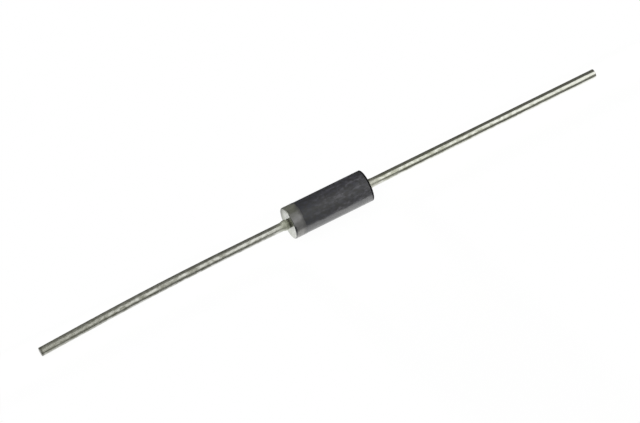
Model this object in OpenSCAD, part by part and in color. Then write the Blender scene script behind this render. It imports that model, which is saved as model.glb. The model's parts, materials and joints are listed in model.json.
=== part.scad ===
// Zener diode with axial leads: a silicon chip soldered between two headed wires and moulded in epoxy.
// It lies on its case and on the tip of its bent cathode lead, as it does on a bench.
// Millimetres. The origin is the middle of the case, +X runs along the axis towards the anode, +Z is up.

/* [Case] */
// Length of the moulded case
case_length = 8.8; // [7.5:0.1:10]
// Diameter of the moulded case
case_diameter = 3.3; // [3.1:0.1:4]
// Rounding of the edge round each end of the case
case_edge = 0.05; // [0.03:0.01:0.3]
// Width of the recess in the ends of the case, round each wire
recess_width = 0.12; // [0.05:0.01:0.3]
// Depth of that recess
recess_depth = 0.1; // [0.05:0.01:0.3]

/* [Cathode band] */
// Width of the printed band, from the cathode end of the case
band_width = 1.2; // [0.8:0.1:2]
// Thickness of the ink
band_thickness = 0.02; // [0.01:0.005:0.05]

/* [Leads] */
// Diameter of the tinned wire
lead_diameter = 0.9; // [0.7:0.01:1.1]
// Length of the anode lead outside the case
anode_reach = 26.4; // [15:0.05:32]
// Straight stretch of the cathode lead next to the case
cathode_root = 7; // [3:0.5:12]
// Length of wire in the gentle bend of the cathode lead
cathode_bend = 14.7; // [8:0.1:20]
// Straight stretch at the tip of the cathode lead
cathode_tip = 6; // [4:0.5:10]
// Thickness of the extra tin on the dipped tip of the cathode lead
tip_tin = 0.01; // [0.005:0.005:0.03]
// Rounding of the rim where each lead was clipped
clipped_edge = 0.04; // [0.02:0.01:0.1]
// Height of the tin that has built up on the cathode lead beside the case
cathode_swell = 0.09; // [0.04:0.01:0.15]
// Height of the tin at the same place on the anode lead, where there is less
anode_swell = 0.03; // [0.02:0.01:0.15]
// Length of that tin along the wire
tin_length = 0.6; // [0.4:0.05:1]
// Bare wire between the tin and the case
tin_gap = 0.15; // [0.05:0.05:0.3]

/* [Lead heads] */
// Thickness of the flat head on each wire inside the case
head_thickness = 0.5; // [0.3:0.05:0.8]
// How far a head reaches past the corners of the chip
head_margin = 0.04; // [0.02:0.01:0.2]
// Rounding of the back rim of a head
head_edge = 0.15; // [0.05:0.01:0.25]
// Height of the collar on each wire that locks it in the epoxy
lock_height = 0.25; // [0.15:0.05:0.4]
// Width of the locking collar
lock_width = 0.4; // [0.3:0.05:0.6]
// Rounding of the locking collar's two rims
lock_edge = 0.1; // [0.05:0.01:0.14]
// Wire between a head and its locking collar
lock_distance = 1; // [0.5:0.1:1.5]

/* [Chip] */
// Side of the square silicon chip
chip_side = 1.5; // [1.2:0.05:1.6]
// Thickness of the chip
chip_thickness = 0.3; // [0.2:0.02:0.4]
// Inset of the round solder layers from the sides of the chip
solder_inset = 0.05; // [0.02:0.01:0.2]
// Thickness of each solder layer
solder_thickness = 0.06; // [0.04:0.01:0.1]
// How far the junction coating bulges past the heads
coating_bulge = 0.15; // [0.05:0.01:0.18]

/* [Hidden] */
$fn = 96;

case_radius = case_diameter / 2;
case_end = case_length / 2;
lead_radius = lead_diameter / 2;
tip_radius = lead_radius + tip_tin;

chip_face = chip_thickness / 2;
head_face = chip_face + solder_thickness;
head_back = head_face + head_thickness;
head_radius = chip_side / sqrt(2) + head_margin;
solder_radius = chip_side / 2 - solder_inset;

// The case and the tip of the cathode lead rest on one level, so the bend drops the tip that far.
rest_drop = case_radius + band_thickness - tip_radius;
bend_start = case_end + cathode_root;
bend_turn = rest_drop / (cathode_bend / 2 + cathode_tip);
bend_angle = bend_turn * 180 / PI;
bend_radius = cathode_bend / bend_turn;
bend_steps = 24;

// Half section of a round length whose far rim is rounded, with radius along X and the axis along Y.
module round_end(radius, length, edge) {
    square([radius, length - edge]);
    square([radius - edge, length]);
    translate([radius - edge, length - edge]) circle(edge);
}

// The same with both rims rounded, from the start given.
module round_ends(radius, start, length, edge) {
    translate([0, start + length / 2])
        for (side = [0, 1])
            mirror([0, side]) round_end(radius, length / 2, edge);
}

// Half section of a round length whose side swells out in one arc.
module swollen(radius, start, length, swell) {
    arc_radius = (length * length / 4 + swell * swell) / (2 * swell);
    intersection() {
        translate([0, start]) square([radius + 2 * swell, length]);
        union() {
            translate([0, start]) square([radius, length]);
            translate([radius + swell - arc_radius, start + length / 2]) circle(arc_radius);
        }
    }
}

// Turns a half section about the axis of the diode.
module turned() {
    rotate([0, 90, 0]) rotate_extrude() children();
}

// Half section of the case before anything is moulded into it.
module case_outline(grow = 0) {
    round_ends(case_radius + grow, -case_end - grow, case_length + 2 * grow, case_edge + grow);
}

// Half section of a wire's head and locking collar.
module head_outline() {
    translate([0, head_face]) round_end(head_radius, head_thickness, head_edge);
    round_ends(lead_radius + lock_height, head_back + lock_distance, lock_width, lock_edge);
}

// Half section of the tin on a wire beside the case.
module tin_outline(swell) {
    swollen(lead_radius, case_end + tin_gap, tin_length, swell);
}

// Half section of a straight wire from its head out to the reach given.
module wire_outline(reach) {
    translate([0, head_face]) square([lead_radius, reach - head_face]);
}

// Half section of the cone that leaves the recess round a wire.
module recess_outline() {
    polygon([
        [0, case_end - recess_depth],
        [lead_radius, case_end - recess_depth],
        [lead_radius + recess_width, case_end],
        [lead_radius + recess_width, case_end + tin_gap],
        [0, case_end + tin_gap]
    ]);
}

// Half section of the coating, whose outside is one arc from head to head.
module coating_outline() {
    swollen(head_radius, -head_face, 2 * head_face, coating_bulge);
}

// Carries a cross section of the wire round the bend, about the bend's own centre.
module round_bend() {
    rotate([90, -90, 0])
        rotate_extrude(angle = bend_angle, $fn = bend_steps * 360 / bend_angle)
            translate([bend_radius, 0]) children();
}

// Straight dipped tip that starts on the end face of the bend, from the bend's centre.
module straight_tip() {
    difference() {
        rotate([0, -bend_angle, 0])
            translate([lead_radius, 0, bend_radius])
                rotate([0, -90, 0])
                    rotate_extrude() round_end(tip_radius, lead_radius + cathode_tip, clipped_edge);
        round_bend() square(4 * tip_radius, center = true);
    }
}

// Dark epoxy with a seat for each lead and for the coated chip, and a recess round each wire.
module moulded_case() {
    color([0.25, 0.25, 0.27]) turned() difference() {
        case_outline();
        for (side = [0, 1])
            mirror([0, side]) {
                head_outline();
                wire_outline(case_end + tin_gap);
                recess_outline();
            }
        coating_outline();
    }
}

// Grey ink round the cathode end, over the rounded edge and along the side.
module cathode_band() {
    color([0.45, 0.45, 0.44]) turned() intersection() {
        difference() {
            case_outline(band_thickness);
            case_outline();
        }
        translate([case_radius - case_edge, -case_end - band_thickness])
            square([case_edge + band_thickness, band_width + band_thickness]);
    }
}

// Headed copper wire, bent gently so that its tip comes down to the level the case lies on.
module cathode_lead() {
    color([0.72, 0.72, 0.68]) {
        turned() mirror([0, 1]) {
            head_outline();
            wire_outline(bend_start);
            tin_outline(cathode_swell);
        }
        translate([-bend_start, 0, -bend_radius]) {
            round_bend() circle(lead_radius);
            straight_tip();
        }
    }
}

// Headed copper wire, straight to its clipped end.
module anode_lead() {
    color([0.74, 0.74, 0.71]) turned() {
        head_outline();
        translate([0, head_face])
            round_end(lead_radius, case_end + anode_reach - head_face, clipped_edge);
        tin_outline(anode_swell);
    }
}

// Square silicon chip, its faces square to the axis.
module zener_chip() {
    color([0.34, 0.36, 0.42]) cube([chip_thickness, chip_side, chip_side], center = true);
}

// Round solder layer between the chip and a head, on the side given: -1 cathode, 1 anode.
module solder_layer(side) {
    color([0.62, 0.63, 0.65])
        translate([side * (chip_face + head_face) / 2, 0, 0])
            rotate([0, 90, 0]) cylinder(r = solder_radius, h = solder_thickness, center = true);
}

module cathode_solder() {
    solder_layer(-1);
}

module anode_solder() {
    solder_layer(1);
}

// Silicone ring that fills the space round the chip between the two heads.
module junction_coating() {
    color([0.88, 0.87, 0.82]) difference() {
        turned() coating_outline();
        zener_chip();
        cathode_solder();
        anode_solder();
    }
}

moulded_case();
cathode_band();
cathode_lead();
anode_lead();
zener_chip();
cathode_solder();
anode_solder();
junction_coating();
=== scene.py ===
import json
import math

import bmesh
import bpy
from mathutils import Matrix, Vector


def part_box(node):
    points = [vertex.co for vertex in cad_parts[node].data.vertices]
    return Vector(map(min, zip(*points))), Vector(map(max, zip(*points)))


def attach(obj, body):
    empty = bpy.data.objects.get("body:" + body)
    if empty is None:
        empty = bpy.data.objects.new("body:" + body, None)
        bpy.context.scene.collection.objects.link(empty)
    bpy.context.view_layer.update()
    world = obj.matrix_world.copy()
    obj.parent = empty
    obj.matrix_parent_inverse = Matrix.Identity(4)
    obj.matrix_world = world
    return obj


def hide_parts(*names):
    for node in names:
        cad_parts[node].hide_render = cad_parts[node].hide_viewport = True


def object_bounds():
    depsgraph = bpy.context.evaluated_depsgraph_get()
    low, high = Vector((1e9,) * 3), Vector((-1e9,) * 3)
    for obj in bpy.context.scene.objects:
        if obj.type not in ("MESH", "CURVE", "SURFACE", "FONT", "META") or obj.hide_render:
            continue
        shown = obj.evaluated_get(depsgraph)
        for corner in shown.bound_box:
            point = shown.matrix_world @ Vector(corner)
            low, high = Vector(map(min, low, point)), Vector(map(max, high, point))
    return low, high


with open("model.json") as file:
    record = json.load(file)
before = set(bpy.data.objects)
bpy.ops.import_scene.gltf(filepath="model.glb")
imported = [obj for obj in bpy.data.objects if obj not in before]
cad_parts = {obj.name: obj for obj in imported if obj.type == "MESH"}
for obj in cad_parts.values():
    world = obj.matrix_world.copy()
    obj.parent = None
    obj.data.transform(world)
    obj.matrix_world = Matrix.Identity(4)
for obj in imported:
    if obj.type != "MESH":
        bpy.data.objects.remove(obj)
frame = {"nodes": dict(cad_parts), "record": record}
cad_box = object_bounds()

# Chip: a square of silicon sawn from a wafer, with a metal film on both faces.
# It makes the junction, and it is held between the heads of the two leads.
MM = 0.001
sawn_tones = ((0.08, 0.085, 0.11), (0.13, 0.135, 0.16))
saw_mark_depth = 0.002 * MM


def add_node(tree, kind, sockets=None, **settings):
    """Adds a node. sockets gives its inputs by name or number, as a value or as another node's output."""
    node = tree.nodes.new(kind)
    for name, value in settings.items():
        setattr(node, name, value)
    for key, value in (sockets or {}).items():
        if isinstance(value, bpy.types.NodeSocket):
            tree.links.new(value, node.inputs[key])
        else:
            node.inputs[key].default_value = value
    return node


def new_finish(name, **shader_values):
    """A material with one Principled shader, and the values that are the same all over it."""
    material = bpy.data.materials.new(name)
    material.use_nodes = True
    shader = material.node_tree.nodes["Principled BSDF"]
    for socket, value in shader_values.items():
        shader.inputs[socket].default_value = value
    return material, material.node_tree, shader


def place_in_mm(tree, scale=(1, 1, 1), attribute=None, shift=(0, 0, 0)):
    """A surface point's place, or the one an attribute stores, in millimetres times scale plus shift."""
    if attribute:
        place = add_node(tree, "ShaderNodeAttribute", attribute_name=attribute).outputs["Vector"]
    else:
        place = add_node(tree, "ShaderNodeTexCoord").outputs["Object"]
    sockets = {"Vector": place, "Location": shift, "Scale": [share / MM for share in scale]}
    return add_node(tree, "ShaderNodeMapping", sockets).outputs["Vector"]


def ramp(tree, value, start, end, low=0.0, high=1.0):
    """Goes from low to high as the value goes from start to end, and stays level outside that stretch."""
    sockets = {"Value": value, "From Min": start, "From Max": end, "To Min": low, "To Max": high}
    return add_node(tree, "ShaderNodeMapRange", sockets).outputs["Result"]


def mottle(tree, place, start, end, low=0.0, high=1.0):
    """Noise over a place, as a ramp from low to high between the start and the end of the noise's range."""
    sockets = {"Vector": place, "Scale": 1.0, "Detail": 4.0, "Roughness": 0.55}
    noise = add_node(tree, "ShaderNodeTexNoise", sockets).outputs["Fac"]
    return ramp(tree, noise, start, end, low, high)


def mix_colour(tree, factor, first, second):
    """The colour between two colours or colour outputs."""
    mix = add_node(tree, "ShaderNodeMix", {0: factor}, data_type="RGBA")
    for number, colour in ((6, first), (7, second)):
        if isinstance(colour, bpy.types.NodeSocket):
            tree.links.new(colour, mix.inputs[number])
        else:
            mix.inputs[number].default_value = (*colour, 1)
    return mix.outputs[2]


def add_bump(tree, shader, height, depth):
    """Raises the surface by a height output from 0 to 1, which stands for depth in metres."""
    bump = add_node(tree, "ShaderNodeBump", {"Height": height, "Distance": depth, "Strength": 1.0})
    tree.links.new(bump.outputs["Normal"], shader.inputs["Normal"])


def dress(node_name, material):
    """Gives a CAD node its finish."""
    for slot in frame["nodes"][node_name].material_slots:
        slot.material = material


silicon, tree, shader = new_finish("sawn_silicon", Metallic=0.35, Roughness=0.3)
saw_marks = mottle(tree, place_in_mm(tree, (40, 3, 3)), 0.3, 0.7)
tree.links.new(mix_colour(tree, saw_marks, *sawn_tones), shader.inputs["Base Color"])
add_bump(tree, shader, saw_marks, saw_mark_depth)
dress("zener_chip", silicon)

# Solder: a round layer on each face of the chip, melted in one pass through a furnace.
# It joins the chip to the heads of the leads.
solder_tones = ((0.36, 0.36, 0.38), (0.5, 0.5, 0.52))
solder_roughness = (0.35, 0.55)
solder_grain_depth = 0.004 * MM

solder, tree, shader = new_finish("dull_solder", Metallic=1.0)
grain = mottle(tree, place_in_mm(tree, (9, 9, 9)), 0.35, 0.65)
tree.links.new(mix_colour(tree, grain, *solder_tones), shader.inputs["Base Color"])
dullness = mottle(tree, place_in_mm(tree, (4, 4, 4)), 0.3, 0.7, *solder_roughness)
tree.links.new(dullness, shader.inputs["Roughness"])
add_bump(tree, shader, grain, solder_grain_depth)
for side in ("cathode", "anode"):
    dress(side + "_solder", solder)

# Leads: copper wire, drawn, headed at one end and dipped in tin, which left a swelling beside the case.
# The heads are soldered to the chip, and the case is moulded round them. The cathode's lead is bent.
mounts = {mount["name"]: mount for mount in frame["record"]["mounts"]}
case_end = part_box("moulded_case")[1].x
wire_radius = mounts["anode_lead"]["dims"]["r_mm"] * MM
tip_radius = mounts["cathode_lead_tip"]["dims"]["r_mm"] * MM
head_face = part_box("anode_lead")[0].x
head_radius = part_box("anode_lead")[1].z
head_thickness = 0.5 * MM
head_edge = 0.15 * MM
lock_height = 0.25 * MM
lock_radius = wire_radius + lock_height
lock_distance = 1.0 * MM
lock_start = head_face + head_thickness + lock_distance
lock_width = 0.4 * MM
lock_edge = 0.1 * MM
clipped_edge = 0.04 * MM
station_step = 0.1 * MM
corner_steps = 6
wire_sides = 48

tin_gap = 0.07 * MM
tin_start = case_end + tin_gap
tin_length = 0.65 * MM
tin_fullness = 0.7
anode_swell = 0.03 * MM
cathode_swell = 0.09 * MM
ripple_height = 0.01 * MM
ripple_level = 0.55
ripple_scale = (0.9 / MM, 1.1 / MM, 1.1 / MM)

tip = mounts["cathode_lead_tip"]
tip_axis = Vector(tip["axis"])
tip_length = tip["dims"]["length_mm"] * MM
bend_end = Vector(tip["pos_m"]) - tip_axis * tip_length / 2
bend_angle = math.asin(-tip_axis.z)
bend_radius = -bend_end.z / (1 - math.cos(bend_angle))
bend_start = -bend_end.x - bend_radius * math.sin(bend_angle)
bend_length = bend_radius * bend_angle
cathode_end = bend_start + bend_length + tip_length + clipped_edge
anode_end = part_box("anode_lead")[1].x

cloud_swing = 0.06
spot_swing = 0.36
even_stretch = 9 * MM
even_share = 0.4
root_start = tin_start + 2.4 * tin_length
root_full = tin_start + 0.9 * tin_length
root_dulling = 0.25
root_streak_share = 0.06
neck_blend = 0.03 * MM
cut_start = 0.28 * MM
cut_full = 0.12 * MM
drawn_streak_depth = 0.005 * MM


def rounded_corner(along, radius, edge, ahead):
    """Stations round a convex rim, from the side to the face when ahead is 1 and back when it is -1."""
    turns = [math.pi / 2 * step / corner_steps for step in range(corner_steps + 1)]
    middle = along - ahead * edge
    rim = [(middle + ahead * edge * math.sin(t), radius - edge + edge * math.cos(t)) for t in turns]
    return rim[::ahead]


def head_stations():
    """(distance from the diode's middle, radius) from the face of a lead's head to the end of its collar."""
    head_back = head_face + head_thickness
    stations = [(head_face, head_radius)]
    stations += rounded_corner(head_back, head_radius, head_edge, 1)
    stations += [(head_back, wire_radius), (lock_start, wire_radius)]
    stations += rounded_corner(lock_start, lock_radius, lock_edge, -1)
    stations += rounded_corner(lock_start + lock_width, lock_radius, lock_edge, 1)
    return stations + [(lock_start + lock_width, wire_radius)]


def wire_stations(end, swell, dipped_from):
    """The same along a whole straight lead, with the swelling of its tin, to its clipped end."""
    stations = head_stations()
    for step in range(int((end - clipped_edge - case_end) / station_step)):
        along = case_end + step * station_step
        in_tin = (along - tin_start) / tin_length
        bulge = swell * math.sin(math.pi * in_tin) ** tin_fullness if 0 < in_tin < 1 else 0
        radius = tip_radius if along > dipped_from else wire_radius
        stations.append((along, radius + bulge))
    return stations + rounded_corner(end, stations[-1][1], clipped_edge, 1)


def maths(tree, operation, *values):
    """One step of arithmetic on values or outputs."""
    return add_node(tree, "ShaderNodeMath", dict(enumerate(values)), operation=operation).outputs[0]


def vector_maths(tree, operation, sockets):
    """One step of arithmetic on vectors, with both of its outputs."""
    return add_node(tree, "ShaderNodeVectorMath", sockets, operation=operation).outputs


def split_axes(tree, vector):
    """The outputs X, Y and Z of a vector."""
    return add_node(tree, "ShaderNodeSeparateXYZ", {0: vector}).outputs


def store_value(tree, geometry, name, value, kind="FLOAT"):
    """Stores a value on each point of a geometry, under a name."""
    sockets = {"Geometry": geometry, "Name": name, "Value": value}
    return add_node(tree, "GeometryNodeStoreNamedAttribute", sockets, data_type=kind).outputs[0]


def stored_value(tree, name, kind="FLOAT"):
    """The value stored on each point under a name."""
    return add_node(tree, "GeometryNodeInputNamedAttribute", {"Name": name}, data_type=kind).outputs[0]


def bend_line(tree, given):
    """Lays the line of a straight lead round its bend. Each point stores how far along the lead it is."""
    along = split_axes(tree, add_node(tree, "GeometryNodeInputPosition").outputs[0])["X"]
    line = store_value(tree, given["Lead"], "along", along)
    past = maths(tree, "MAXIMUM", maths(tree, "SUBTRACT", along, given["Bend Start"]), 0.0)
    in_bend = maths(tree, "MINIMUM", past, given["Bend Length"])
    in_tip = maths(tree, "SUBTRACT", past, in_bend)
    turn = maths(tree, "DIVIDE", in_bend, given["Bend Radius"])
    sine = maths(tree, "SINE", turn)
    cosine = maths(tree, "COSINE", turn)
    tip_run = maths(tree, "MULTIPLY", in_tip, cosine)
    bend_run = maths(tree, "MULTIPLY_ADD", given["Bend Radius"], sine, tip_run)
    run = maths(tree, "ADD", maths(tree, "SUBTRACT", along, past), bend_run)
    rise = maths(tree, "MULTIPLY", given["Bend Radius"], maths(tree, "SUBTRACT", cosine, 1.0))
    drop = maths(tree, "SUBTRACT", rise, maths(tree, "MULTIPLY", in_tip, sine))
    bent = add_node(tree, "ShaderNodeCombineXYZ", {"X": run, "Z": drop}).outputs[0]
    return add_node(tree, "GeometryNodeSetPosition", {"Geometry": line, "Position": bent}).outputs[0]


def sweep_wire(tree, given, line):
    """Sweeps a circle along a line, at the line's radius. Its points store their place round the circle."""
    sockets = {"Resolution": given["Sides"], "Radius": 1.0}
    circle = add_node(tree, "GeometryNodeCurvePrimitiveCircle", sockets).outputs["Curve"]
    place = add_node(tree, "GeometryNodeInputPosition").outputs[0]
    circle = store_value(tree, circle, "rim", place, "FLOAT_VECTOR")
    radius = add_node(tree, "GeometryNodeInputRadius").outputs[0]
    sockets = {"Curve": line, "Profile Curve": circle, "Scale": radius, "Fill Caps": True}
    return add_node(tree, "GeometryNodeCurveToMesh", sockets).outputs[0]


def ripple_tin(tree, given, wire):
    """Ripples the tin outside the case. Each point stores its place on the straight lead, for the finish."""
    along = stored_value(tree, "along")
    rim = stored_value(tree, "rim", "FLOAT_VECTOR")
    across = split_axes(tree, vector_maths(tree, "SCALE", {0: rim, "Scale": wire_radius})[0])
    sockets = {"X": along, "Y": across["X"], "Z": across["Y"]}
    straight = add_node(tree, "ShaderNodeCombineXYZ", sockets).outputs[0]
    wire = store_value(tree, wire, "straight_place", straight, "FLOAT_VECTOR")
    stretched = vector_maths(tree, "MULTIPLY", {0: straight, 1: ripple_scale})[0]
    sockets = {"Vector": stretched, "Scale": 1.0, "Detail": 2.0}
    noise = add_node(tree, "ShaderNodeTexNoise", sockets).outputs["Fac"]
    height = maths(tree, "MULTIPLY", maths(tree, "SUBTRACT", noise, ripple_level), given["Ripple Height"])
    height = maths(tree, "MULTIPLY", height, maths(tree, "GREATER_THAN", along, given["Ripple Start"]))
    normal = add_node(tree, "GeometryNodeInputNormal").outputs[0]
    offset = vector_maths(tree, "SCALE", {0: normal, "Scale": height})[0]
    return add_node(tree, "GeometryNodeSetPosition", {"Geometry": wire, "Offset": offset}).outputs[0]


def tinned_wire_nodes():
    """Geometry nodes that bend a straight lead, sweep its radius along it and ripple its tin."""
    tree = bpy.data.node_groups.new("tinned_wire", "GeometryNodeTree")
    sizes = {"Bend Start": 0.0, "Bend Length": 0.0, "Bend Radius": 1.0, "Turn": 0.0, "Sides": wire_sides,
             "Ripple Height": ripple_height, "Ripple Start": case_end}
    tree.interface.new_socket("Lead", in_out="INPUT", socket_type="NodeSocketGeometry")
    for name, value in sizes.items():
        kind = "NodeSocketInt" if name == "Sides" else "NodeSocketFloat"
        tree.interface.new_socket(name, in_out="INPUT", socket_type=kind).default_value = value
    tree.interface.new_socket("Finish", in_out="INPUT", socket_type="NodeSocketMaterial")
    tree.interface.new_socket("Lead", in_out="OUTPUT", socket_type="NodeSocketGeometry")
    given = tree.nodes.new("NodeGroupInput").outputs
    wire = ripple_tin(tree, given, sweep_wire(tree, given, bend_line(tree, given)))
    about = add_node(tree, "ShaderNodeCombineXYZ", {"Z": given["Turn"]}).outputs[0]
    wire = add_node(tree, "GeometryNodeTransform", {"Geometry": wire, "Rotation": about}).outputs[0]
    wire = add_node(tree, "GeometryNodeSetShadeSmooth", {"Geometry": wire, "Shade Smooth": True}).outputs[0]
    wire = add_node(tree, "GeometryNodeRealizeInstances", {"Geometry": wire}).outputs[0]
    dressed = add_node(tree, "GeometryNodeSetMaterial", {"Geometry": wire, "Material": given["Finish"]})
    tree.links.new(dressed.outputs[0], tree.nodes.new("NodeGroupOutput").inputs[0])
    return tree


def stored_number(tree, name):
    """The number that a mesh stores on each point under a name, for its finish."""
    return add_node(tree, "ShaderNodeAttribute", attribute_name=name).outputs["Fac"]


def tinned_finish(name, clean, dull, root, neck_tone_and_shade, cut, smooth, rough, bright_at, dull_at, ageing):
    """Tin on drawn wire, duller towards dull_at, with other tones beside the case and on the cut end; a dark
    neck tone at the case paints shade.
    """
    material, tree, shader = new_finish(name, Metallic=1.0)
    along = stored_number(tree, "along")
    streaks = mottle(tree, place_in_mm(tree, (0.4, 7, 7), "straight_place"), 0.3, 0.7)
    clouds = place_in_mm(tree, (0.4, 1.2, 1.2), "straight_place")
    clouds = mottle(tree, clouds, 0.38, 0.62, -cloud_swing, cloud_swing)
    spots = place_in_mm(tree, (1.9, 3.2, 3.2), "straight_place")
    spots = mottle(tree, spots, 0.38, 0.62, -spot_swing, spot_swing)
    clipped_at = max(bright_at, dull_at)
    unevenness = ramp(tree, along, clipped_at - even_stretch, clipped_at, 1.0, even_share)
    age = ramp(tree, along, bright_at, dull_at, *ageing)
    patches = maths(tree, "MULTIPLY_ADD", maths(tree, "ADD", clouds, spots), unevenness, age)
    at_root = ramp(tree, along, root_start, root_full)
    at_neck = ramp(tree, along, tin_start + neck_blend, tin_start - neck_blend)
    at_cut = ramp(tree, along, clipped_at - cut_start, clipped_at - cut_full)
    tone = mix_colour(tree, patches, clean, dull)
    for share, local_tone in ((at_root, root), (at_neck, neck_tone_and_shade), (at_cut, cut)):
        tone = mix_colour(tree, share, tone, local_tone)
    tree.links.new(tone, shader.inputs["Base Color"])
    roughness = ramp(tree, patches, 0.0, 1.0, smooth, rough)
    roughness = maths(tree, "MULTIPLY_ADD", at_root, root_dulling, roughness)
    tree.links.new(roughness, shader.inputs["Roughness"])
    streaks = maths(tree, "MULTIPLY", streaks, ramp(tree, at_root, 0.0, 1.0, 1.0, root_streak_share))
    add_bump(tree, shader, streaks, drawn_streak_depth)
    return material


wire_nodes = tinned_wire_nodes()


def make_lead(name, end, swell, finish, dipped_from=math.inf, bend=None):
    """Makes one lead as a plain mesh, in place of its CAD node. bend gives the tree's inputs for a bend."""
    curve = bpy.data.curves.new(name + "_line", "CURVE")
    curve.dimensions = "3D"
    spline = curve.splines.new("POLY")
    stations = wire_stations(end, swell, dipped_from)
    spline.points.add(len(stations) - 1)
    for point, (along, radius) in zip(spline.points, stations):
        point.co = (along, 0, 0, 1)
        point.radius = radius
    line = bpy.data.objects.new(name + "_line", curve)
    bpy.context.scene.collection.objects.link(line)
    modifier = line.modifiers.new("tinned_wire", "NODES")
    modifier.node_group = wire_nodes
    items = wire_nodes.interface.items_tree
    identifiers = {item.name: item.identifier for item in items if item.in_out == "INPUT"}
    for socket, value in {"Finish": finish, **(bend or {})}.items():
        modifier[identifiers[socket]] = value
    bpy.context.view_layer.update()
    evaluated = line.evaluated_get(bpy.context.evaluated_depsgraph_get())
    mesh = bpy.data.meshes.new_from_object(evaluated)
    bpy.data.objects.remove(line)
    wire = bpy.data.objects.new(name, mesh)
    bpy.context.scene.collection.objects.link(wire)
    return wire


anode_tin = tinned_finish(
    "bright_tin", clean=(0.96, 0.97, 0.91), dull=(0.5, 0.51, 0.42), root=(0.74, 0.74, 0.66),
    neck_tone_and_shade=(0.7, 0.7, 0.62), cut=(0.9, 0.9, 0.84), smooth=0.1, rough=0.3,
    bright_at=anode_end, dull_at=case_end, ageing=(0.3, 0.66))
# The cathode's dark neck tone paints shade in the gap between its tin and the case.
cathode_tin = tinned_finish(
    "dulled_tin", clean=(0.72, 0.725, 0.69), dull=(0.26, 0.263, 0.21), root=(0.62, 0.64, 0.55),
    neck_tone_and_shade=(0.26, 0.26, 0.21), cut=(0.22, 0.22, 0.195), smooth=0.28, rough=0.42,
    bright_at=case_end, dull_at=cathode_end, ageing=(0.12, 0.62))
anode_wire = make_lead("anode_wire", anode_end, anode_swell, anode_tin)
cathode_wire = make_lead(
    "cathode_wire", cathode_end, cathode_swell, cathode_tin, dipped_from=bend_start + bend_length,
    bend={"Bend Start": bend_start, "Bend Length": bend_length, "Bend Radius": bend_radius, "Turn": math.pi})
for wire, node_name in ((anode_wire, "anode_lead"), (cathode_wire, "cathode_lead")):
    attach(wire, "root")
    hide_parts(node_name)

# Coating: a ring of silicone, put on as a liquid round the edge of the chip and cured before moulding.
# It fills the space between the two heads and bulges a little past them.
silicone_tones = ((0.72, 0.7, 0.62), (0.8, 0.78, 0.7))
silicone_dimple_depth = 0.006 * MM

silicone, tree, shader = new_finish("cured_silicone", Roughness=0.4)
cloud = mottle(tree, place_in_mm(tree, (2, 2, 2)), 0.3, 0.7)
tree.links.new(mix_colour(tree, cloud, *silicone_tones), shader.inputs["Base Color"])
add_bump(tree, shader, cloud, silicone_dimple_depth)
dress("junction_coating", silicone)

# Case: dark epoxy, moulded in one shot round the chip and the heads of the leads.
# The upper half of the mould left it satin and clouded, and the lower half left it smoother,
# with a paler tone that paints the reflection of the paper.
# The flat end on the cathode's side is polished, with painted shade towards its far side.
# The rim of the other end is dark with painted shade, as is a short stretch of this end's rim at the front.
case_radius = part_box("moulded_case")[1].z
case_edge = 0.05 * MM
case_sides = 128
recess_width = 0.12 * MM
recess_depth = 0.1 * MM
coating_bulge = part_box("junction_coating")[1].z - head_radius
rim_width = 0.17 * MM
rim_support = 0.01 * MM
sharp_angle = math.radians(40)
bare_turn = math.radians(-66)
bare_from = 0.93
bare_full = 0.98
# How much painted shade the cathode's rim takes on its bare stretch.
cathode_rim_shade = 0.35

parting_roll = math.radians(25.5)
parting_normal = (0, -math.sin(parting_roll), -math.cos(parting_roll))
parting_waver_mm = 0.08
parting_blend_mm = (0.05, 0.28)
epoxy_ior = 1.95
epoxy_tones = ((0.03, 0.03, 0.05), (0.042, 0.044, 0.062))
banded_end_tone = (0.01, 0.013, 0.032)
banded_end_fade_mm = (-3.2, 0.5)
scuff_tone = (0.134, 0.131, 0.162)
scuff_share = 0.7
pit_tone = (0.008, 0.008, 0.011)
pit_share = 0.8
pattern_shift = (23, 1, 7)
# Paler tones on the lower half paint the reflection of the paper in front.
painted_reflection_tones = ((0.16, 0.16, 0.18), (0.29, 0.29, 0.31))
painted_reflection_share = 0.8
satin_epoxy_roughness = (0.55, 0.65)
epoxy_smoothing = 0.38
epoxy_grain_depth = 0.006 * MM
# A near black tone that paints shade on the rims of the case's ends.
rim_shade_tone = (0.012, 0.012, 0.013)
face_tones = ((0.54, 0.555, 0.505), (0.63, 0.645, 0.59))
# A darker tone that paints shade towards the far side of the polished end.
far_face_shade_tone = (0.36, 0.37, 0.33)
far_face_shade_side = (0, 1, -0.4)
far_face_shade_blend_mm = (0.6, 1.4)
face_metallic = 0.85
face_roughness = 0.16


def bare_share(turn):
    """How bare of ink the rim of the cathode's end is at an angle: 1 on a short stretch at the front."""
    return min(max((math.cos(turn - bare_turn) - bare_from) / (bare_full - bare_from), 0), 1)


def turned_piece(name, section, sides):
    """Turns a closed half section on the diode's axis. section gives it as (along, radius) at an angle."""
    shape = bmesh.new()
    rings = []
    for step in range(sides):
        turn = 2 * math.pi * step / sides
        rings.append([shape.verts.new((along, radius * math.sin(turn), radius * math.cos(turn)))
                      for along, radius in section(turn)])
    for ring, following in zip(rings, rings[1:] + rings[:1]):
        for here, there in zip(range(len(ring)), [*range(1, len(ring)), 0]):
            shape.faces.new((ring[here], ring[there], following[there], following[here]))
    bmesh.ops.recalc_face_normals(shape, faces=shape.faces)
    mesh = bpy.data.meshes.new(name)
    shape.to_mesh(mesh)
    shape.free()
    mesh.shade_smooth()
    mesh.set_sharp_from_angle(angle=sharp_angle)
    piece = bpy.data.objects.new(name, mesh)
    bpy.context.scene.collection.objects.link(piece)
    return piece


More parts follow.
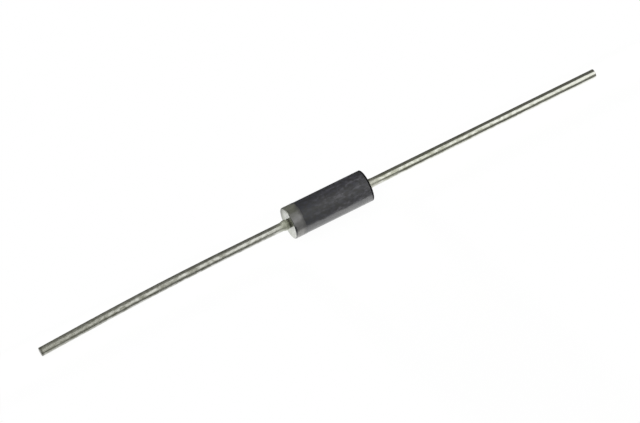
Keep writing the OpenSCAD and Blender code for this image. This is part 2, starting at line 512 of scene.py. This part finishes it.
def case_section(turn):
    """The case and its seats for the coating and for both leads, the same at every angle."""
    arc_radius = (head_face ** 2 + coating_bulge ** 2) / (2 * coating_bulge)
    arc_middle = head_radius + coating_bulge - arc_radius
    reach = math.asin(head_face / arc_radius)
    arc = [reach * step / corner_steps for step in range(1 - corner_steps, corner_steps)]
    coated = [(arc_radius * math.sin(t), arc_middle + arc_radius * math.cos(t)) for t in arc]
    half = head_stations() + [(case_end - recess_depth, wire_radius), (case_end, wire_radius + recess_width)]
    half += [(case_end, case_radius - case_edge - rim_support)]
    half += rounded_corner(case_end, case_radius, case_edge, 1)[::-1]
    half += [(case_end - rim_width, case_radius), (case_end - rim_width - rim_support, case_radius)]
    return coated + half + [(-along, radius) for along, radius in half[::-1]]


def end_shares(along, y, z):
    """How far a point of the case has the polish of the cathode's end, and the painted shade of a rim."""
    radius = math.hypot(y, z)
    from_end = case_end - abs(along)
    flat = from_end < rim_support / 2 and radius < case_radius - case_edge - rim_support / 2
    at_rim = not flat and from_end < rim_width + rim_support / 2 and radius > case_radius - 2 * case_edge
    rounded = at_rim and from_end < case_edge + rim_support
    polished = flat and radius > wire_radius + recess_width / 2 or rounded and y > 0
    # The rim's painted shade: full round the anode's end, and part of it on the cathode's bare stretch.
    bare = 1.0 if along > 0 else cathode_rim_shade * bare_share(math.atan2(y, z))
    return float(polished and along < 0), bare * at_rim


def axes_in_mm(tree):
    """A surface point's place on X, Y and Z, in millimetres."""
    return split_axes(tree, place_in_mm(tree))


def reach_in_mm(tree, direction):
    """How far a surface point lies in a direction from the diode's middle, in millimetres."""
    return vector_maths(tree, "DOT_PRODUCT", {0: place_in_mm(tree), 1: direction})["Value"]


def lower_half(tree):
    """1 on the half of the case that came out of the smoother half of the mould, and 0 on the other. That
    half also gets a paler tone, a painted reflection of the paper.
    """
    uneven = mottle(tree, place_in_mm(tree, (1.2, 2, 2)), 0.35, 0.65, -parting_waver_mm, parting_waver_mm)
    below = maths(tree, "ADD", reach_in_mm(tree, parting_normal), uneven)
    return ramp(tree, below, *parting_blend_mm)


def moulded_epoxy():
    """Dark epoxy: clouds, scuffs that fade towards the band, pits, the smoother half with a painted
    reflection, and the two ends, with painted shade on the rims and on the far side of the polished end.
    """
    material, tree, shader = new_finish("moulded_epoxy", IOR=epoxy_ior)
    cloud = mottle(tree, place_in_mm(tree, (0.5, 0.9, 0.9), shift=pattern_shift), 0.4, 0.6)
    scuffs = place_in_mm(tree, (0.7, 2.4, 2.4), shift=pattern_shift)
    scuffs = mottle(tree, scuffs, 0.48, 0.62, 0.0, scuff_share)
    pits = mottle(tree, place_in_mm(tree, (2.2, 3.6, 3.6)), 0.42, 0.58, 0.0, pit_share)
    fading = ramp(tree, axes_in_mm(tree)["X"], *banded_end_fade_mm)
    tone = mix_colour(tree, fading, banded_end_tone, mix_colour(tree, cloud, *epoxy_tones))
    tone = mix_colour(tree, maths(tree, "MULTIPLY", scuffs, fading), tone, scuff_tone)
    tone = mix_colour(tree, pits, tone, pit_tone)
    lower = lower_half(tree)
    # Painted reflection of the paper: a paler tone on the lower half.
    patches = mottle(tree, place_in_mm(tree, (0.6, 1.6, 1.6)), 0.35, 0.65)
    painted_reflection_tone = mix_colour(tree, patches, *painted_reflection_tones)
    tone = mix_colour(tree, maths(tree, "MULTIPLY", lower, painted_reflection_share), tone, painted_reflection_tone)
    # Painted shade on the rims, which also turns them to dark metal.
    rim = stored_number(tree, "rim")
    tone = mix_colour(tree, rim, tone, rim_shade_tone)
    polish = stored_number(tree, "polish")
    face_tone = mix_colour(tree, mottle(tree, place_in_mm(tree, (2, 2, 2)), 0.4, 0.6), *face_tones)
    # Painted shade towards the far side of the polished end.
    far_face_shade = ramp(tree, reach_in_mm(tree, far_face_shade_side), *far_face_shade_blend_mm)
    face_tone = mix_colour(tree, far_face_shade, face_tone, far_face_shade_tone)
    tree.links.new(mix_colour(tree, polish, tone, face_tone), shader.inputs["Base Color"])
    tree.links.new(maths(tree, "MULTIPLY_ADD", polish, face_metallic, rim), shader.inputs["Metallic"])
    satin = mottle(tree, place_in_mm(tree, (3, 3, 3)), 0.3, 0.7, *satin_epoxy_roughness)
    roughness = maths(tree, "MULTIPLY_ADD", lower, -epoxy_smoothing, satin)
    roughness = add_node(tree, "ShaderNodeMix", {0: polish, 2: roughness, 3: face_roughness}).outputs[0]
    tree.links.new(roughness, shader.inputs["Roughness"])
    add_bump(tree, shader, mottle(tree, place_in_mm(tree, (5, 7, 7)), 0.3, 0.7), epoxy_grain_depth)
    return material


epoxy_case = turned_piece("epoxy_case", case_section, case_sides)
polish_layer = epoxy_case.data.attributes.new("polish", "FLOAT", "POINT")
rim_shade_layer = epoxy_case.data.attributes.new("rim", "FLOAT", "POINT")
for vertex, on_face, on_rim in zip(epoxy_case.data.vertices, polish_layer.data, rim_shade_layer.data):
    on_face.value, on_rim.value = end_shares(*vertex.co)
epoxy_case.data.materials.append(moulded_epoxy())
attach(epoxy_case, "root")
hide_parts("moulded_case")

# Band: a ring of grey ink, printed round the cathode's end of the case, up to its edge.
# It marks the lead that is positive when the diode holds back its voltage. Its inner edge is uneven.
ink_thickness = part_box("cathode_band")[1].z - case_radius
band_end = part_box("cathode_band")[1].x
band_sides = 192
edge_waves = ((3, 1.0, 0.025 * MM), (7, 2.1, 0.015 * MM), (13, 0.4, 0.012 * MM), (29, 1.7, 0.008 * MM))

# The ink's tones by side paint light and shade: darker on top, lighter towards the front and the back.
shaded_top_ink = (0.09, 0.095, 0.07)
lit_front_ink = (0.295, 0.293, 0.315)
lit_front_blend_mm = (0.15, -0.6)
lit_back_ink = (0.19, 0.195, 0.16)
lit_back_blend_mm = (0.2, 0.6)
blend_waver_mm = 0.2
worn_ink = (0.18, 0.18, 0.165)
worn_share = 0.5
thin_ink = (0.06, 0.059, 0.066)
thin_edge_mm = (-3.6, -3.2)
thin_edge_share = 0.9
faint_turn = math.radians(-54)
faint_side = (0, math.sin(faint_turn), math.cos(faint_turn))
faint_blend_mm = (1.56, 1.63)
faint_share = 0.5
# A paler tone that paints the reflection of the paper on the ink's lower half.
painted_reflection_ink = (0.5, 0.49, 0.49)
painted_reflection_ink_share = 0.7
satin_ink_roughness = (0.5, 0.6)
ink_smoothing = 0.33
ink_grain_depth = 0.004 * MM


def band_section(turn):
    """The ink at an angle: out along the side of the case, then back along its own face."""
    edge = band_end + sum(height * math.sin(count * turn + phase) for count, phase, height in edge_waves)
    start = case_edge + bare_share(turn) * (rim_width - case_edge) - case_end
    outer = case_radius + ink_thickness
    under = [(start, case_radius), (edge + ink_thickness, case_radius)]
    return under + [(edge, outer), (start + ink_thickness, outer)]


def printed_ink():
    """Grey ink, worn in patches and thin at its inner edge and in a line along the front, with painted shade
    on top, painted light towards the front and back, and a paler painted reflection on its lower half.
    """
    material, tree, shader = new_finish("printed_ink", IOR=epoxy_ior)
    place = axes_in_mm(tree)
    uneven = mottle(tree, place_in_mm(tree, (1.5, 1.8, 1.8)), 0.3, 0.7, -blend_waver_mm, blend_waver_mm)
    along = maths(tree, "ADD", place["X"], uneven)
    across = maths(tree, "ADD", place["Y"], uneven)
    # Painted shade on top, and painted light towards the front and the back.
    tone = mix_colour(tree, ramp(tree, across, *lit_front_blend_mm), shaded_top_ink, lit_front_ink)
    tone = mix_colour(tree, ramp(tree, across, *lit_back_blend_mm), tone, lit_back_ink)
    worn = mottle(tree, place_in_mm(tree, (1.6, 2.2, 2.2)), 0.4, 0.6, 0.0, worn_share)
    tone = mix_colour(tree, worn, tone, worn_ink)
    faint = ramp(tree, reach_in_mm(tree, faint_side), *faint_blend_mm, 0.0, faint_share)
    tone = mix_colour(tree, faint, tone, thin_ink)
    # Painted reflection of the paper on the ink's lower half.
    lower = lower_half(tree)
    tone = mix_colour(tree, maths(tree, "MULTIPLY", lower, painted_reflection_ink_share), tone, painted_reflection_ink)
    thinned = ramp(tree, along, *thin_edge_mm, 0.0, thin_edge_share)
    tree.links.new(mix_colour(tree, thinned, tone, thin_ink), shader.inputs["Base Color"])
    satin = mottle(tree, place_in_mm(tree, (3, 3, 3)), 0.3, 0.7, *satin_ink_roughness)
    roughness = maths(tree, "MULTIPLY_ADD", lower, -ink_smoothing, satin)
    tree.links.new(roughness, shader.inputs["Roughness"])
    add_bump(tree, shader, mottle(tree, place_in_mm(tree, (8, 8, 8)), 0.3, 0.7), ink_grain_depth)
    return material


ink_band = turned_piece("ink_band", band_section, band_sides)
ink_band.data.materials.append(printed_ink())
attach(ink_band, "root")
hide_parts("cathode_band")

# Studio: white paper, with a painted pool of light near the diode and painted shade farther off, a softbox
# above on the anode's side, a smaller and lower one on the cathode's side, and a dim room.
# The camera looks down on the diode from the front, on the cathode's side.
floor_level = cad_box[0].z
floor_size = 2.0
strip_start_mm = -40.0
strip_end_mm = 10.0
case_strip = ((-36, 0.2), (-12, 0.7), (-7, 1), (1.6, 1), (2.5, 0.45), (3.3, 0))
lead_strip = ((-4, 0), (-1.4, 1), (1.4, 1), (2.4, 0))
case_strip_slant = 0.27
case_strip_side_mm = (4.4, 8.5)
# The paper's tones paint light and shade: pale in a pool near the diode, dark farther off.
shaded_far_paper = (0.12, 0.12, 0.12)
lit_near_paper = (0.9, 0.9, 0.9)
white_share = 0.9
white_glow = 1.062
white = (1, 1, 1)
room_tone = (1, 1, 0.87)
side_wall_blend = (0.1, 0.35)
side_wall_levels = (0.23, 0.08)
front_wall_blend = (0.2, -0.2)
front_wall_level = 0.1


def bright_strip(tree, across, stops):
    """How white the paper's painted pool of light is across the diode, from stops of (place on Y in
    millimetres, share).
    """
    strip = add_node(tree, "ShaderNodeValToRGB", {"Fac": ramp(tree, across, strip_start_mm, strip_end_mm)})
    elements = strip.color_ramp.elements
    for y, share in stops:
        elements.new((y - strip_start_mm) / (strip_end_mm - strip_start_mm)).color = (share, share, share, 1)
    elements.remove(elements[0])
    elements.remove(elements[-1])
    return strip.outputs["Color"]


def white_paper():
    """Paper that is white to the camera, with a faint shadow, and white to the diode only in a painted pool
    of light near it, with painted shade farther off.
    """
    material, tree, shader = new_finish("white_paper", Roughness=0.9)
    place = axes_in_mm(tree)
    from_case = maths(tree, "MULTIPLY_ADD", place["Y"], case_strip_slant, place["X"])
    beside_case = ramp(tree, maths(tree, "ABSOLUTE", from_case), *case_strip_side_mm)
    strips = [bright_strip(tree, place["Y"], stops) for stops in (case_strip, lead_strip)]
    # The painted pool of light, wider beside the case than along the leads.
    near = mix_colour(tree, beside_case, *strips)
    tree.links.new(mix_colour(tree, near, shaded_far_paper, lit_near_paper), shader.inputs["Base Color"])
    glow = ramp(tree, near, 0.0, 1.0, 1.0, white_glow)
    glowing = add_node(tree, "ShaderNodeEmission", {"Color": (*white, 1), "Strength": glow})
    ray = add_node(tree, "ShaderNodeLightPath").outputs
    mirrored = maths(tree, "MAXIMUM", ray["Is Glossy Ray"], ray["Is Transmission Ray"])
    mirrored = maths(tree, "MULTIPLY", maths(tree, "MULTIPLY", mirrored, near), white_share)
    unshaded = ramp(tree, near, 0.0, 1.0, 1.0, white_share)
    share = maths(tree, "MULTIPLY_ADD", ray["Is Camera Ray"], unshaded, mirrored)
    blend = add_node(tree, "ShaderNodeMixShader", {0: share, 1: shader.outputs[0], 2: glowing.outputs[0]})
    tree.links.new(blend.outputs[0], tree.nodes["Material Output"].inputs["Surface"])
    return material


def light_room(tree):
    """A dim room that the camera sees as white: darker on the anode's side, brighter at the front."""
    ray = add_node(tree, "ShaderNodeLightPath").outputs
    direction = split_axes(tree, add_node(tree, "ShaderNodeTexCoord").outputs["Generated"])
    walls = ramp(tree, direction["X"], *side_wall_blend, *side_wall_levels)
    front = ramp(tree, direction["Y"], *front_wall_blend, 0.0, front_wall_level)
    level = maths(tree, "MAXIMUM", maths(tree, "ADD", walls, front), ray["Is Camera Ray"])
    background = tree.nodes["Background"]
    tree.links.new(mix_colour(tree, ray["Is Camera Ray"], room_tone, white), background.inputs["Color"])
    tree.links.new(level, background.inputs["Strength"])


def add_softbox(name, place, side, level):
    """A square lamp with one side along X, tilted to face the diode's axis. level is its brightness."""
    lamp = bpy.data.lights.new(name, "AREA")
    lamp.shape = "SQUARE"
    lamp.size = side
    lamp.energy = level * math.pi * side ** 2
    softbox = bpy.data.objects.new(name, lamp)
    tilt = Matrix.Rotation(math.atan2(-place[1], place[2]), 4, "X")
    softbox.matrix_world = Matrix.Translation(place) @ tilt
    softbox.visible_camera = False
    bpy.context.scene.collection.objects.link(softbox)


bpy.ops.mesh.primitive_plane_add(size=floor_size, location=(0, 0, floor_level))
floor = bpy.context.object
floor.name = "floor"
floor.data.materials.append(white_paper())

room = bpy.data.worlds.new("studio")
room.use_nodes = True
light_room(room.node_tree)
bpy.context.scene.world = room
add_softbox("softbox", place=(0.28, -0.175, 0.43), side=0.63, level=0.8)
add_softbox("fill", place=(-0.38, 0.22, 0.25), side=0.5, level=1.5)

camera_azimuth = math.radians(-29.95)
camera_elevation = math.radians(58.67)
camera_distance = 465 * MM
focal_pixels = 4732
picture_width = 640
picture_height = 423
case_pixel_x = 327.28
case_pixel_y = 204.44
level_reach = math.cos(camera_elevation)
sideways = Vector((math.cos(camera_azimuth), math.sin(camera_azimuth), 0))
backwards = Vector((math.sin(camera_azimuth) * level_reach, -math.cos(camera_azimuth) * level_reach,
                    math.sin(camera_elevation)))
upwards = backwards.cross(sideways)
pixel = camera_distance / focal_pixels
aim = pixel * ((picture_width / 2 - case_pixel_x) * sideways + (case_pixel_y - picture_height / 2) * upwards)
lens = bpy.data.cameras.new("camera")
lens.sensor_width = 36
lens.lens = lens.sensor_width * focal_pixels / picture_width
lens.clip_start = 10 * MM
camera = bpy.data.objects.new("camera", lens)
facing = Matrix((sideways, upwards, backwards)).transposed().to_4x4()
camera.matrix_world = Matrix.Translation(aim + backwards * camera_distance) @ facing
bpy.context.scene.collection.objects.link(camera)
bpy.context.scene.camera = camera
bpy.context.scene.view_settings.view_transform = "Standard"
